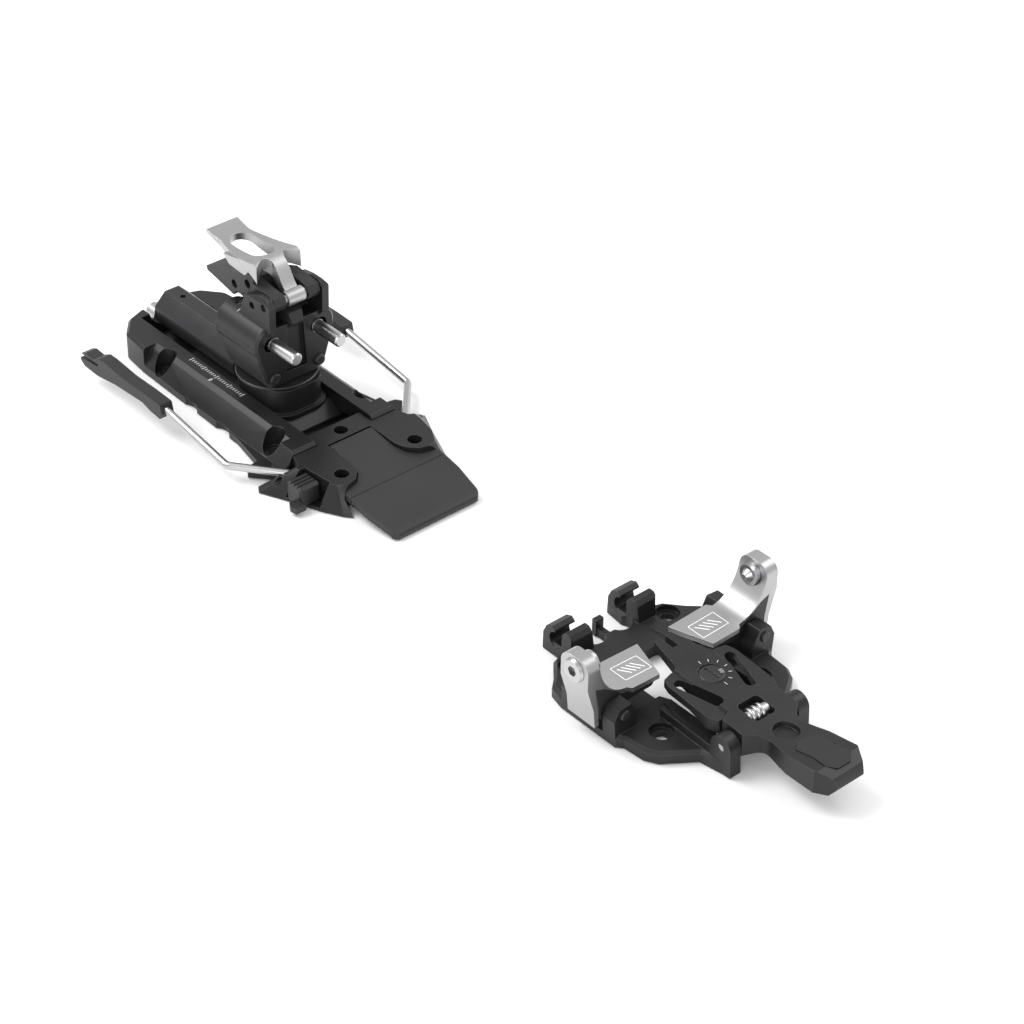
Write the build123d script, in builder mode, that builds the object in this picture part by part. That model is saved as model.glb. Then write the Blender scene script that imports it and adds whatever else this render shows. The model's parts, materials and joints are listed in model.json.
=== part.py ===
"""Pin touring binding: a heel unit and a toe unit screwed to one ski.

Frame: +X runs forward to the ski's tip, +Y to the left, +Z up. The origin is the middle of the
toe unit's four screw holes, on the ski's top surface, and the ski's centre line is Y = 0.
"""

import os

from build123d import *

os.makedirs("parts", exist_ok=True)

# ---------------------------------------------------------------- driving dimensions, mm
# Places of the two units along the ski
TOE_X = 2.0  # line through the two boot pins of the toe unit
HEEL_X = -191.5  # front end of the heel unit's housing
SIDES = {"left": 1, "right": -1}

# Screw patterns on the ski
TOE_HOLE_SPACING = 49.0
HEEL_HOLE_FRONT = HEEL_X - 16.5
HEEL_HOLE_REAR = HEEL_X - 93.0
HEEL_HOLE_Y = 23.5
SKI_SCREW_R = 2.8
SKI_SCREW_HEAD_R = 4.9

# Heel housing
RAIL_TOP = 12.5
CHANNEL_HALF = 14.5
GROOVE_HALF = 16.8
GROOVE_TOP = 4.8
CHANNEL_FLOOR = 1.0
HOUSING_REAR = HEEL_X - 130.0
CHANNEL_REAR = HEEL_X - 124.0

# Length adjustment
LEAD_SCREW_Z = 3.1
LEAD_SCREW_R = 1.8
RUNNING = 0.05  # radial clearance of a shaft in its hole

# Carriage and release tube
SWIVEL_X = HEEL_X - 45.0
CARRIAGE_TOP = 20.4
TUBE_Z = 14.7
TUBE_R = 9.6
TUBE_BORE_R = 7.2
TUBE_REAR = HEEL_X - 121.0
TUBE_FRONT = HEEL_X - 63.4
POST_R = 6.0

# Tower
TOWER_FRONT = HEEL_X - 31.0
TOWER_BOTTOM = 21.4
HEEL_PIN_Y = 11.2
HEEL_PIN_Z = 43.2
HEEL_PIN_R = 2.85
HEEL_PIN_TIP = HEEL_X - 15.2
HEEL_PIN_PIVOT = HEEL_X - 54.0
BARREL_R = 9.0
EAR_IN, EAR_OUT = 11.9, 15.2

# Risers
RISER_X, RISER_Z = HEEL_X - 31.5, 61.5
RISER_AXLE_R = 1.75

# Brake
ARM_Y = 47.3
ARM_WIRE_R = 1.65
ARM_AXIS_X, ARM_AXIS_Z = HEEL_X + 3.5, 5.4
PLATE_TOP = 11.0
PAD_AXIS_X, PAD_AXIS_Z = HEEL_X + 4.6, 9.5
CREASE_X, CREASE_Z = HEEL_X + 35.3, 5.9
PAD_FRONT = HEEL_X + 61.0

# Toe unit
WING_AXIS_Y, WING_AXIS_Z = 35.2, 12.7
WING_HALF = 7.2
TOE_PIN_Z = 31.2
TOE_PLATE_TOP = 5.0
LEVER_AXIS_X, LEVER_AXIS_Z = TOE_X + 47.5, 10.8
LEVER_AXLE_R = 1.6
JAW_IN, JAW_OUT = 11.4, 21.4


# ---------------------------------------------------------------- working planes and outlines
def plan(x, z, y=0.0):
    """Plane seen from above, local X forward and local Y left."""
    return Plane(origin=(x, y, z))


def profile(x, y=0.0, z=0.0):
    """Plane seen from the right, local X forward and local Y up; a positive extrusion goes right."""
    return Plane(origin=(x, y, z), x_dir=(1, 0, 0), z_dir=(0, -1, 0))


def section(x, z=0.0):
    """Plane seen from the front, local X left and local Y up; a positive extrusion goes forward."""
    return Plane(origin=(x, 0, z), x_dir=(0, 1, 0), z_dir=(1, 0, 0))


def both_halves(points):
    """Closes a right-hand half outline with its mirror image about the ski's centre line."""
    return [(x, -y) for x, y in points] + list(reversed(points))


def save(piece, label):
    """Names a finished piece and writes it to its own file."""
    piece.part.label = label
    export_step(piece.part, f"parts/{label}.step")


# ---------------------------------------------------------------- heel unit: housing
def heel_housing():
    half = [(-130, 11), (-127, 19), (-118, 26.5), (-104, 28), (-34, 29.5), (-16, 33), (-15, 38.5)]
    half += [(-12.4, 40.4), (-2.4, 31.6), (0, 28.6)]
    with BuildPart() as housing:
        with BuildSketch(plan(HEEL_X, 0)) as outline:
            Polygon(*both_halves(half), align=None)
            fillet(outline.vertices().sort_by(Axis.X)[:6], 5)
        extrude(amount=RAIL_TOP)
        # outer flanks slope down from the rails between the rear block and the front shoulders
        with BuildSketch(section(HEEL_X - 103)):
            for side in SIDES.values():
                Polygon(
                    (side * 21, RAIL_TOP), (side * 23.5, 10.8), (side * 28.7, 3.0), (side * 50, 3.0),
                    (side * 50, RAIL_TOP + 1), (side * 21, RAIL_TOP + 1), align=None,
                )
        extrude(amount=94, mode=Mode.SUBTRACT)
        with BuildSketch(section(HEEL_X - 9)):
            for side in SIDES.values():
                Polygon(
                    (side * 26, RAIL_TOP), (side * 31, 3.4), (side * 50, 3.4),
                    (side * 50, RAIL_TOP + 1), (side * 26, RAIL_TOP + 1), align=None,
                )
        extrude(amount=10, mode=Mode.SUBTRACT)
        # rounded rear block, lower at its edge
        chamfer(housing.edges().filter_by_position(Axis.Z, RAIL_TOP - 0.01, RAIL_TOP + 0.01)
                .filter_by_position(Axis.X, HOUSING_REAR - 1, HEEL_X - 103.5), 1.2)
        chamfer(housing.edges().filter_by_position(Axis.Z, RAIL_TOP - 0.01, RAIL_TOP + 0.01)
                .filter_by_position(Axis.X, HEEL_X - 0.5, HEEL_X + 0.1), 1.3)
        # channel with an undercut groove along both rails
        groove = [(GROOVE_HALF, CHANNEL_FLOOR), (GROOVE_HALF, GROOVE_TOP), (CHANNEL_HALF, GROOVE_TOP)]
        groove += [(CHANNEL_HALF, RAIL_TOP + 2)]
        with BuildSketch(section(CHANNEL_REAR)):
            Polygon(*groove, *[(-y, z) for y, z in reversed(groove)], align=None)
        extrude(amount=HEEL_X - CHANNEL_REAR + 1, mode=Mode.SUBTRACT)
        # the release tube passes over the rear wall, the length screw passes through it
        with BuildSketch(section(HOUSING_REAR - 1)):
            with Locations((0, TUBE_Z)):
                Circle(TUBE_R + 0.6)
            with Locations((0, LEAD_SCREW_Z)):
                Circle(LEAD_SCREW_R + RUNNING)
        extrude(amount=9, mode=Mode.SUBTRACT)
        # sunk seats for the four ski screws
        with Locations(*[(x, side * HEEL_HOLE_Y, RAIL_TOP) for x in (HEEL_HOLE_REAR, HEEL_HOLE_FRONT)
                         for side in SIDES.values()]):
            CounterBoreHole(SKI_SCREW_R, SKI_SCREW_HEAD_R, RAIL_TOP - 3.2)
        # lightening scallops low in both flanks
        with BuildSketch(plan(HEEL_X, 0)):
            with Locations(*[(x, side * 33.5) for x in (-68, -45) for side in SIDES.values()]):
                Circle(6.4)
        extrude(amount=3.4, mode=Mode.SUBTRACT)
    save(housing, "heel_housing")


def lead_screw():
    """Length-adjusting screw: knurled head behind the housing, shank along the channel."""
    with BuildPart() as screw:
        with BuildSketch(section(HOUSING_REAR - 7.2)):
            with Locations((0, LEAD_SCREW_Z + 1.4)):
                Circle(4.1)
        extrude(amount=7)
        chamfer(screw.edges().group_by(Axis.X)[0], 0.8)
        with BuildSketch(section(HOUSING_REAR - 7.2)):
            with Locations((0, LEAD_SCREW_Z)):
                Rectangle(5, 1.2)
        extrude(amount=1.6, mode=Mode.SUBTRACT)
        with BuildSketch(section(HOUSING_REAR - 0.6)):
            with Locations((0, LEAD_SCREW_Z)):
                Circle(LEAD_SCREW_R)
        extrude(amount=78)
        chamfer(screw.edges().group_by(Axis.X)[-1], 0.5)
    save(screw, "lead_screw")


# ---------------------------------------------------------------- heel unit: carriage
def carriage():
    front, rear = HEEL_X - 21.0, HEEL_X - 93.0
    with BuildPart() as body:
        with BuildSketch(section(rear)):
            Polygon(
                (-GROOVE_HALF + 0.3, CHANNEL_FLOOR + 0.2), (GROOVE_HALF - 0.3, CHANNEL_FLOOR + 0.2),
                (GROOVE_HALF - 0.3, GROOVE_TOP - 0.25), (CHANNEL_HALF - 0.3, GROOVE_TOP - 0.25),
                (CHANNEL_HALF - 0.3, 8), (-CHANNEL_HALF + 0.3, 8),
                (-CHANNEL_HALF + 0.3, GROOVE_TOP - 0.25),
                (-GROOVE_HALF + 0.3, GROOVE_TOP - 0.25), align=None,
            )
        extrude(amount=front - rear)
        # sloped front lip
        with BuildSketch(profile(front)):
            Polygon((-6.5, 8.01), (0.01, 3.2), (0.01, 8.01), align=None)
        extrude(amount=GROOVE_HALF, both=True, mode=Mode.SUBTRACT)
        # swivel block with a wide foot
        with BuildSketch(plan(HEEL_X - 43.5, 8)):
            RectangleRounded(37.5, 28.2, 9)
        extrude(amount=1.6)
        with BuildSketch(plan(HEEL_X - 44, 8)):
            RectangleRounded(35, 26, 9)
        extrude(amount=CARRIAGE_TOP - 8)
        # seat of the release tube and the plunger's way to the post
        with BuildSketch(section(rear - 1)):
            with Locations((0, TUBE_Z)):
                Circle(TUBE_R + 0.02)
        extrude(amount=TUBE_FRONT - rear + 1.05, mode=Mode.SUBTRACT)
        with BuildSketch(section(TUBE_FRONT - 1)):
            with Locations((0, TUBE_Z)):
                Circle(3.0 + RUNNING)
        extrude(amount=SWIVEL_X - TUBE_FRONT + 1, mode=Mode.SUBTRACT)
        # length screw's thread, and the post's bearing
        with BuildSketch(section(rear - 1)):
            with Locations((0, LEAD_SCREW_Z)):
                Circle(LEAD_SCREW_R + RUNNING)
        extrude(amount=46, mode=Mode.SUBTRACT)
        with Locations((SWIVEL_X, 0, CARRIAGE_TOP)):
            Hole(POST_R + RUNNING, depth=CARRIAGE_TOP - 7.2)
    save(body, "carriage")


def swivel_ring():
    """Bright washer between the carriage and the turning tower."""
    with BuildPart() as ring:
        with BuildSketch(plan(SWIVEL_X, CARRIAGE_TOP)):
            Circle(17.6)
            Circle(POST_R + 0.3, mode=Mode.SUBTRACT)
        extrude(amount=0.8)
        chamfer(ring.edges().group_by(Axis.Z)[-1].sort_by(SortBy.RADIUS)[-1], 0.3)
    save(ring, "swivel_ring")


def release_tube():
    top_flat, side_flat = 8.6, 8.2
    with BuildPart() as tube:
        with BuildSketch(section(TUBE_REAR, TUBE_Z)):
            Circle(TUBE_R)
            with BuildLine():
                Polyline(
                    (-12, -12), (12, -12), (12, -3), (side_flat * 1.08, 3.4), (3.6, top_flat),
                    (-3.6, top_flat), (-side_flat * 1.08, 3.4), (-12, -3), close=True,
                )
            make_face(mode=Mode.INTERSECT)
        extrude(amount=TUBE_FRONT - TUBE_REAR)
        chamfer(tube.edges().group_by(Axis.X)[0], 0.5)
        with BuildSketch(section(TUBE_REAR - 1, TUBE_Z)):
            Circle(TUBE_BORE_R)
        extrude(amount=TUBE_FRONT - TUBE_REAR - 3, mode=Mode.SUBTRACT)
        with BuildSketch(section(TUBE_FRONT - 8, TUBE_Z)):
            Circle(3.0 + RUNNING)
        extrude(amount=10, mode=Mode.SUBTRACT)
        # witness hole on top
        with Locations((TUBE_REAR + 9, 0, TUBE_Z + top_flat)):
            Hole(1.4, depth=5)
    save(tube, "release_tube")


def release_cap():
    """Threaded end cap that sets the release force; a hex key turns it."""
    with BuildPart() as cap:
        with BuildSketch(section(TUBE_REAR + 0.4, TUBE_Z)):
            Circle(TUBE_BORE_R - RUNNING)
        extrude(amount=6)
        chamfer(cap.edges().group_by(Axis.X)[0], 0.5)
        with BuildSketch(section(TUBE_REAR, TUBE_Z)):
            RegularPolygon(2.9, 6)
        extrude(amount=4, mode=Mode.SUBTRACT)
    save(cap, "release_cap")


def release_spring():
    with BuildPart() as spring:
        with BuildSketch(section(TUBE_REAR + 6.6, TUBE_Z)):
            Circle(6.4)
            Circle(4.2, mode=Mode.SUBTRACT)
        extrude(amount=TUBE_FRONT - TUBE_REAR - 16.2)
    save(spring, "release_spring")


def release_plunger():
    """Plunger that the tube's spring presses against the flat of the tower's post."""
    with BuildPart() as plunger:
        with BuildSketch(section(TUBE_FRONT - 9, TUBE_Z)):
            Circle(6.2)
        extrude(amount=3)
        with BuildSketch(section(TUBE_FRONT - 9, TUBE_Z)):
            Circle(3.0)
        extrude(amount=SWIVEL_X - POST_R - 0.4 - TUBE_FRONT + 9)
        fillet(plunger.edges().group_by(Axis.X)[-1], 0.8)
    save(plunger, "release_plunger")


# ---------------------------------------------------------------- heel unit: tower
def tower():
    rear = HEEL_X - 59.0
    with BuildPart() as body:
        # foot, narrow at the swivel and wide at the barrels
        with BuildSketch(section(HEEL_X - 57)):
            Polygon(
                (-13.2, TOWER_BOTTOM), (13.2, TOWER_BOTTOM), (14.6, 23.4), (19.2, 37), (19.2, 44), (12, 52),
                (-12, 52), (-19.2, 44), (-19.2, 37), (-14.6, 23.4), align=None,
            )
        extrude(amount=TOWER_FRONT - HEEL_X + 57)
        # rear corners of the foot are cut round the swivel
        with BuildSketch(plan(SWIVEL_X, TOWER_BOTTOM)):
            Rectangle(60, 60)
            Circle(18.0, mode=Mode.SUBTRACT)
        extrude(amount=2.9, mode=Mode.SUBTRACT)
        # two barrels that hold the pins
        with BuildSketch(section(rear)):
            with Locations((HEEL_PIN_Y, HEEL_PIN_Z), (-HEEL_PIN_Y, HEEL_PIN_Z)):
                Circle(BARREL_R)
        extrude(amount=TOWER_FRONT - rear)
        chamfer(body.faces().sort_by(Axis.X)[-1].outer_wire().edges(), 1.1)
        # ears that carry the risers
        with BuildSketch(profile(HEEL_X)) as ear:
            Polygon(
                (-50, 48), (-44, 62.5), (-35.5, 65.2), (-30, 65.2), (-27.6, 62.5), (-28, 51),
                (-31, 48), align=None,
            )
            fillet(ear.vertices().group_by(Axis.Y)[-1], 2.2)
        extrude(amount=EAR_OUT, both=True)
        with BuildSketch(profile(HEEL_X)):
            Polygon((-62, 52.6), (-62, 70), (-20, 70), (-20, 47), (-31, 47), (-31, 50),
                    (-38, 50), (-40, 52.6),
                    align=None)
        extrude(amount=EAR_IN, both=True, mode=Mode.SUBTRACT)
        # round windows through the ears behind the axle
        with BuildSketch(profile(HEEL_X)):
            with Locations((-39.4, 59.2)):
                Circle(1.7)
        extrude(amount=EAR_OUT + 1, both=True, mode=Mode.SUBTRACT)
        # chamfered outer top edges of the ears
        with BuildSketch(section(HEEL_X - 52)):
            for side in SIDES.values():
                Polygon((side * 17, 60.5), (side * 17, 66), (side * 13.2, 66), align=None)
        extrude(amount=26, mode=Mode.SUBTRACT)
        # shallow upright recess in the front face
        with BuildSketch(section(TOWER_FRONT + 0.1)):
            Polygon((-5.5, 27), (5.5, 27), (4.2, 47.8), (-4.2, 47.8), align=None)
        extrude(amount=-2.1, mode=Mode.SUBTRACT)
        # round-ended slot in each barrel, longer outwards so that the pin can swing
        with BuildSketch(section(TOWER_FRONT + 1, HEEL_PIN_Z)):
            with Locations((HEEL_PIN_Y + 0.7, 0), (-HEEL_PIN_Y - 0.7, 0)):
                SlotOverall(8.2, 6.5)
        extrude(amount=-21, mode=Mode.SUBTRACT)
        with BuildSketch(plan(HEEL_X - 53.5, HEEL_PIN_Z)):
            with Locations((0, HEEL_PIN_Y), (0, -HEEL_PIN_Y)):
                Rectangle(8.6, 8.8)
        extrude(amount=3.2, both=True, mode=Mode.SUBTRACT)
        # pivot holes of the pins, from above
        with Locations(*[(HEEL_PIN_PIVOT, side * HEEL_PIN_Y, 53) for side in SIDES.values()]):
            Hole(1.5, depth=19)
        # riser axle, spring well and post
        with BuildSketch(profile(RISER_X, z=RISER_Z)):
            Circle(RISER_AXLE_R + 0.01)
        extrude(amount=EAR_OUT + 1, both=True, mode=Mode.SUBTRACT)
        with Locations((SWIVEL_X, 0, 53)):
            Hole(4.6, depth=21)
        with Locations((SWIVEL_X, 0, TOWER_BOTTOM + 5)):
            Hole(POST_R + 0.01, depth=6)
        # tapped holes of the face screws
        with BuildSketch(section(TOWER_FRONT)):
            with Locations((11.5, 26.6), (-11.5, 26.6)):
                Circle(1.5)
        extrude(amount=-7, mode=Mode.SUBTRACT)
        # sharp edges are broken along the foot
        chamfer(body.edges().filter_by(Axis.X).filter_by_position(Axis.Z, 36, 38), 1.2)
    save(body, "tower")


def tower_post():
    with BuildPart() as post:
        with BuildSketch(plan(SWIVEL_X, 7.4)):
            Circle(POST_R)
        extrude(amount=TOWER_BOTTOM + 4.8 - 7.4)
        chamfer(post.edges().group_by(Axis.Z)[0], 0.6)
    save(post, "tower_post")


def vertical_release():
    """Spring, its adjuster and the faceted wedge that sits between the ears."""
    with BuildPart() as spring:
        with BuildSketch(plan(SWIVEL_X, 32.6)):
            Circle(4.3)
            Circle(2.7, mode=Mode.SUBTRACT)
        extrude(amount=15.6)
    save(spring, "vertical_spring")
    with BuildPart() as adjuster:
        with BuildSketch(plan(SWIVEL_X, 48.4)):
            Circle(4.55)
        extrude(amount=4)
        with BuildSketch(plan(SWIVEL_X, 52.5)):
            RegularPolygon(2.3, 6)
        extrude(amount=-2.6, mode=Mode.SUBTRACT)
    save(adjuster, "vertical_adjuster")
    with BuildPart() as wedge:
        with BuildSketch(profile(HEEL_X)):
            Polygon((-38.5, 52.7), (-39.2, 55.4), (-36, 57), (-30.6, 54.6), (-28.6, 50.4), (-30.2, 48.2),
                    (-30.9, 48.2), (-30.9, 50.1), (-37.9, 50.1), align=None)
        extrude(amount=5.2, both=True)
        # flanks slope in towards the nose
        with BuildSketch(plan(HEEL_X, 40)):
            Polygon(*both_halves([(-42, 5.2), (-36, 5.2), (-27, 2.2)]), align=None)
        extrude(amount=20, mode=Mode.INTERSECT)
    save(wedge, "release_wedge")


def heel_pins():
    for name, side in SIDES.items():
        y = side * HEEL_PIN_Y
        with BuildPart() as pin:
            with BuildSketch(plan(HEEL_X - 54, HEEL_PIN_Z, y)):
                RectangleRounded(7, 7, 1.5)
            extrude(amount=2.9, both=True)
            with BuildSketch(Plane(origin=(HEEL_X - 54, y, HEEL_PIN_Z), x_dir=(0, 1, 0), z_dir=(1, 0, 0))):
                Circle(HEEL_PIN_R + 0.15)
            extrude(amount=23.5)
            with BuildSketch(Plane(origin=(HEEL_X - 54, y, HEEL_PIN_Z), x_dir=(0, 1, 0), z_dir=(1, 0, 0))):
                Circle(HEEL_PIN_R)
            extrude(amount=HEEL_PIN_TIP - HEEL_X + 54)
            chamfer(pin.edges().group_by(Axis.X)[-1], 0.6)
            with Locations((HEEL_PIN_PIVOT, y, HEEL_PIN_Z + 3)):
                Hole(1.5 + RUNNING, depth=7)
        save(pin, f"heel_pin_{name}")
    with BuildPart() as pivots:
        with BuildSketch(plan(HEEL_PIN_PIVOT, 34.5)):
            with Locations((0, HEEL_PIN_Y), (0, -HEEL_PIN_Y)):
                Circle(1.5)
        extrude(amount=16.9)
    save(pivots, "heel_pin_pivots")


def face_screws():
    with BuildPart() as screws:
        with BuildSketch(section(TOWER_FRONT)):
            with Locations((11.5, 26.6), (-11.5, 26.6)):
                Circle(2.5)
        extrude(amount=1.3)
        fillet(screws.edges().group_by(Axis.X)[-1], 0.7)
        with BuildSketch(section(TOWER_FRONT + 1.4)):
            with Locations((11.5, 26.6), (-11.5, 26.6)):
                RegularPolygon(1.2, 6)
        extrude(amount=-1.0, mode=Mode.SUBTRACT)
        with BuildSketch(section(TOWER_FRONT)):
            with Locations((11.5, 26.6), (-11.5, 26.6)):
                Circle(1.5)
        extrude(amount=-6.5)
    save(screws, "face_screws")


# ---------------------------------------------------------------- heel unit: risers
def riser_axle():
    with BuildPart() as axle:
        with BuildSketch(profile(RISER_X, z=RISER_Z)):
            Circle(RISER_AXLE_R)
        extrude(amount=EAR_OUT - 1.4, both=True)
        chamfer(axle.edges().group_by(Axis.Y)[-1], 0.3)
        chamfer(axle.edges().group_by(Axis.Y)[0], 0.3)
    save(axle, "riser_axle")


def upper_riser():
    """Bright riser: a waisted platform with an oval window on one curved neck."""
    with BuildPart() as riser:
        with BuildSketch(profile(HEEL_X)):
            with BuildLine():
                Spline((-79.5, 74.2), (-66, 72.6), (-52, 73.6), (-43, 75.4))
                Spline((-43, 75.4), (-38.5, 72.6), (-34.6, 66.8), (-28.3, 62.2))
                Line((-28.3, 62.2), (-30.2, 58.6))
                Line((-30.2, 58.6), (-33.4, 58.9))
                Spline((-33.4, 58.9), (-38.6, 65.0), (-44.4, 69.6), (-54, 68.2))
                Spline((-54, 68.2), (-67, 69.0), (-79.5, 73.0))
                Line((-79.5, 73.0), (-79.5, 74.2))
            make_face()
        extrude(amount=12, both=True)
        outline = [(-90, 8.0), (-79.6, 8.0), (-70, 7.4), (-62, 9.2), (-54, 10.4), (-45, 11.4), (-40.6, 11.2)]
        outline += [(-44.5, 5.0), (-41, 3.1), (-20, 3.1)]
        with BuildSketch(plan(HEEL_X, 50)) as waist:
            Polygon(*both_halves(outline), align=None)
        extrude(amount=30, mode=Mode.INTERSECT)
        # oval window
        with BuildSketch(plan(HEEL_X - 58.5, 60)):
            SlotOverall(24, 11)
        extrude(amount=20, mode=Mode.SUBTRACT)
        # claws that hang down on both sides of the lower riser
        with BuildSketch(profile(HEEL_X)):
            Polygon((-64, 71), (-60, 67.6), (-49.5, 67.0), (-45, 71.6), (-52, 73), align=None)
        extrude(amount=10.9, both=True)
        with BuildSketch(profile(HEEL_X)):
            Polygon((-66, 68.2), (-66, 60), (-44.5, 60), (-44.5, 69.0), (-54, 68.0), align=None)
        extrude(amount=8.9, both=True, mode=Mode.SUBTRACT)
        with BuildSketch(plan(HEEL_X - 58.5, 60)):
            SlotOverall(24, 11)
        extrude(amount=20, mode=Mode.SUBTRACT)
        # hub round the axle
        with BuildSketch(profile(RISER_X, z=RISER_Z)):
            Circle(3.3)
        extrude(amount=4.2, both=True)
        with BuildSketch(profile(RISER_X, z=RISER_Z)):
            Circle(RISER_AXLE_R + RUNNING)
        extrude(amount=15, both=True, mode=Mode.SUBTRACT)
    save(riser, "upper_riser")


def lower_riser():
    """Black riser: a hollow-backed wedge on two forks beside the upper riser's neck."""
    with BuildPart() as riser:
        with BuildSketch(profile(HEEL_X)):
            Polygon(
                (-82, 55.4), (-81.4, 53.6), (-62.5, 50.6), (-60.4, 53.4), (-40, 53.4), (-33, 57.9),
                (-29.6, 58.6), (-28.2, 61.5), (-29.6, 64.6), (-33, 65.0), (-46, 66.2),
                (-51, 66.2), (-58, 63), align=None,
            )
        extrude(amount=12.2, both=True)
        outline = [(-90, 7.2), (-82.2, 7.2), (-66, 7.6), (-52, 8.3), (-46.5, 8.3), (-43.5, 11.3), (-20, 11.3)]
        with BuildSketch(plan(HEEL_X, 45)):
            Polygon(*both_halves(outline), align=None)
        extrude(amount=30, mode=Mode.INTERSECT)
        # gap for the upper riser's neck, which also clears the wedge and the adjuster
        with BuildSketch(plan(HEEL_X, 45)):
            Polygon((-46, -5.6), (-10, -5.6), (-10, 5.6), (-46, 5.6), align=None)
        extrude(amount=30, mode=Mode.SUBTRACT)
        # pocket in the back of the wedge
        with BuildSketch(plan(HEEL_X - 61, 60)):
            RectangleRounded(18, 9.5, 2.5)
        extrude(amount=10, mode=Mode.SUBTRACT)
        # magnet seats in both flanks
        with BuildSketch(profile(HEEL_X)):
            with Locations((-61.5, 56.2), (-51.5, 61)):
                Circle(2.0)
        extrude(amount=20, both=True, mode=Mode.SUBTRACT)
        with BuildSketch(profile(RISER_X, z=RISER_Z)):
            Circle(RISER_AXLE_R + RUNNING)
        extrude(amount=15, both=True, mode=Mode.SUBTRACT)
    save(riser, "lower_riser")


def riser_magnets():
    with BuildPart() as magnets:
        with BuildSketch(profile(HEEL_X)):
            with Locations((-61.5, 56.2), (-51.5, 61)):
                Circle(1.95)
        extrude(amount=6.4, both=True)
    save(magnets, "riser_magnets")


# ---------------------------------------------------------------- heel unit: brake
PAD_TONGUE = [(6.5, 10.6), (19, 10.6), (24.5, 12.2), (28.5, 16), (30.2, 22.5), (31.5, 24.2), (35.0, 24.2)]


def brake_base():
    tongue = [(-7.6, 13.9), (1, 13.9)]
    low = [(0.5, 13.9), (0.5, 26.6), (7.4, 31.2), (-4.6, 41.0), (-1, 43.4), (12, 37.4), (26, 31.8)]
    low += [(34, 27.4), (40.5, 21.8)]
    high = [(0.5, 13.9), (0.5, 26.6), (6.2, 28.4), (6.8, 29.2), (7.6, 30.6), (12, 30.4), (22, 28.4)]
    high += [(27.8, 25.0), (30.2, 20)]
    with BuildPart() as base:
        with BuildSketch(plan(HEEL_X, 0)):
            Polygon(*both_halves(low), align=None)
        with BuildSketch(plan(HEEL_X, PLATE_TOP)):
            Polygon(*both_halves(high), align=None)
        loft(ruled=True)
        with BuildSketch(plan(HEEL_X, 0)):
            Polygon(*both_halves(tongue), align=None)
        extrude(amount=PLATE_TOP)
        # the rear tongue rests on the channel's floor
        with BuildSketch(plan(HEEL_X - 10, 0)):
            Rectangle(21, 60)
        extrude(amount=CHANNEL_FLOOR + 0.05, mode=Mode.SUBTRACT)
        # recess that takes the pad's rear plate, sloping forward with it
        with BuildSketch(plan(HEEL_X, 0)):
            recess = [(3.4, 11.1)] + [(x, y + 0.5) for x, y in PAD_TONGUE] + [(60, 24.7)]
            Polygon(*both_halves(recess), align=None)
        extrude(amount=20, mode=Mode.SUBTRACT)
        with BuildSketch(profile(HEEL_X)):
            Polygon(
                (0.5, 0), (43, 0), (43, 2.6), (36, 3.6), (29, 4.4), (7, 6.4), (7, 7.4),
                (0.5, 7.4), align=None,
            )
        extrude(amount=20.0, both=True)
        # round bearing trough behind the pad
        with BuildSketch(profile(PAD_AXIS_X, z=PAD_AXIS_Z)):
            Circle(2.3)
            with Locations((1.6, 2)):
                Rectangle(6.2, 4)
        extrude(amount=11.1, both=True, mode=Mode.SUBTRACT)
        with BuildSketch(profile(PAD_AXIS_X, z=PAD_AXIS_Z)):
            Circle(0.9)
        extrude(amount=14, both=True, mode=Mode.SUBTRACT)
        # bearings of the brake arms
        with BuildSketch(profile(ARM_AXIS_X, z=ARM_AXIS_Z)):
            Circle(ARM_WIRE_R + RUNNING)
        extrude(amount=40, both=True, mode=Mode.SUBTRACT)
        # guide of the lock button, on the right side only
        with BuildSketch(plan(HEEL_X, 1.0)):
            Polygon((9.5, -27.6), (24.5, -26.0), (24.5, -50), (9.5, -50), align=None)
        extrude(amount=15, mode=Mode.SUBTRACT)
        # screw holes: two beside the pad and one behind it
        with Locations((HEEL_X + 22.3, 18.9, PLATE_TOP), (HEEL_X + 22.3, -18.9, PLATE_TOP)):
            CounterBoreHole(2.2, 3.15, 5.5)
        with Locations((HEEL_X - 2.4, 0, PLATE_TOP)):
            CounterBoreHole(2.0, 3.0, 5.5)
    save(base, "brake_base")


def pad_rear():
    """Rear plate of the pad: a tongue that widens to the crease."""
    with BuildPart() as pad:
        with BuildSketch(profile(HEEL_X)):
            with BuildLine():
                Polyline((4.6, 11.1), (34.6, 8.1), (34.6, 5.3), (4.6, 8.0), close=True)
            make_face()
        extrude(amount=25, both=True)
        with BuildSketch(plan(HEEL_X, 0)) as shape:
            Polygon(*both_halves([(4.6, 10.6)] + PAD_TONGUE[1:]), align=None)
        extrude(amount=20, mode=Mode.INTERSECT)
        with BuildSketch(profile(PAD_AXIS_X, z=PAD_AXIS_Z)):
            Circle(1.6)
        extrude(amount=10.6, both=True)
        # crease knuckles on the outer thirds
        with BuildSketch(profile(CREASE_X, z=CREASE_Z)):
            Circle(1.3)
            with Locations((-1.2, 0.1)):
                Rectangle(2.4, 2.4)
        extrude(amount=24.0, both=True)
        with BuildSketch(profile(CREASE_X, z=CREASE_Z)):
            Circle(1.5)
            with Locations((1, 0)):
                Rectangle(2, 3)
        extrude(amount=9.2, both=True, mode=Mode.SUBTRACT)
        with BuildSketch(profile(CREASE_X, z=CREASE_Z)):
            Circle(0.75)
        extrude(amount=30, both=True, mode=Mode.SUBTRACT)
        with BuildSketch(profile(PAD_AXIS_X, z=PAD_AXIS_Z)):
            Circle(0.9 + RUNNING)
        extrude(amount=30, both=True, mode=Mode.SUBTRACT)
    save(pad, "pad_rear")


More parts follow.
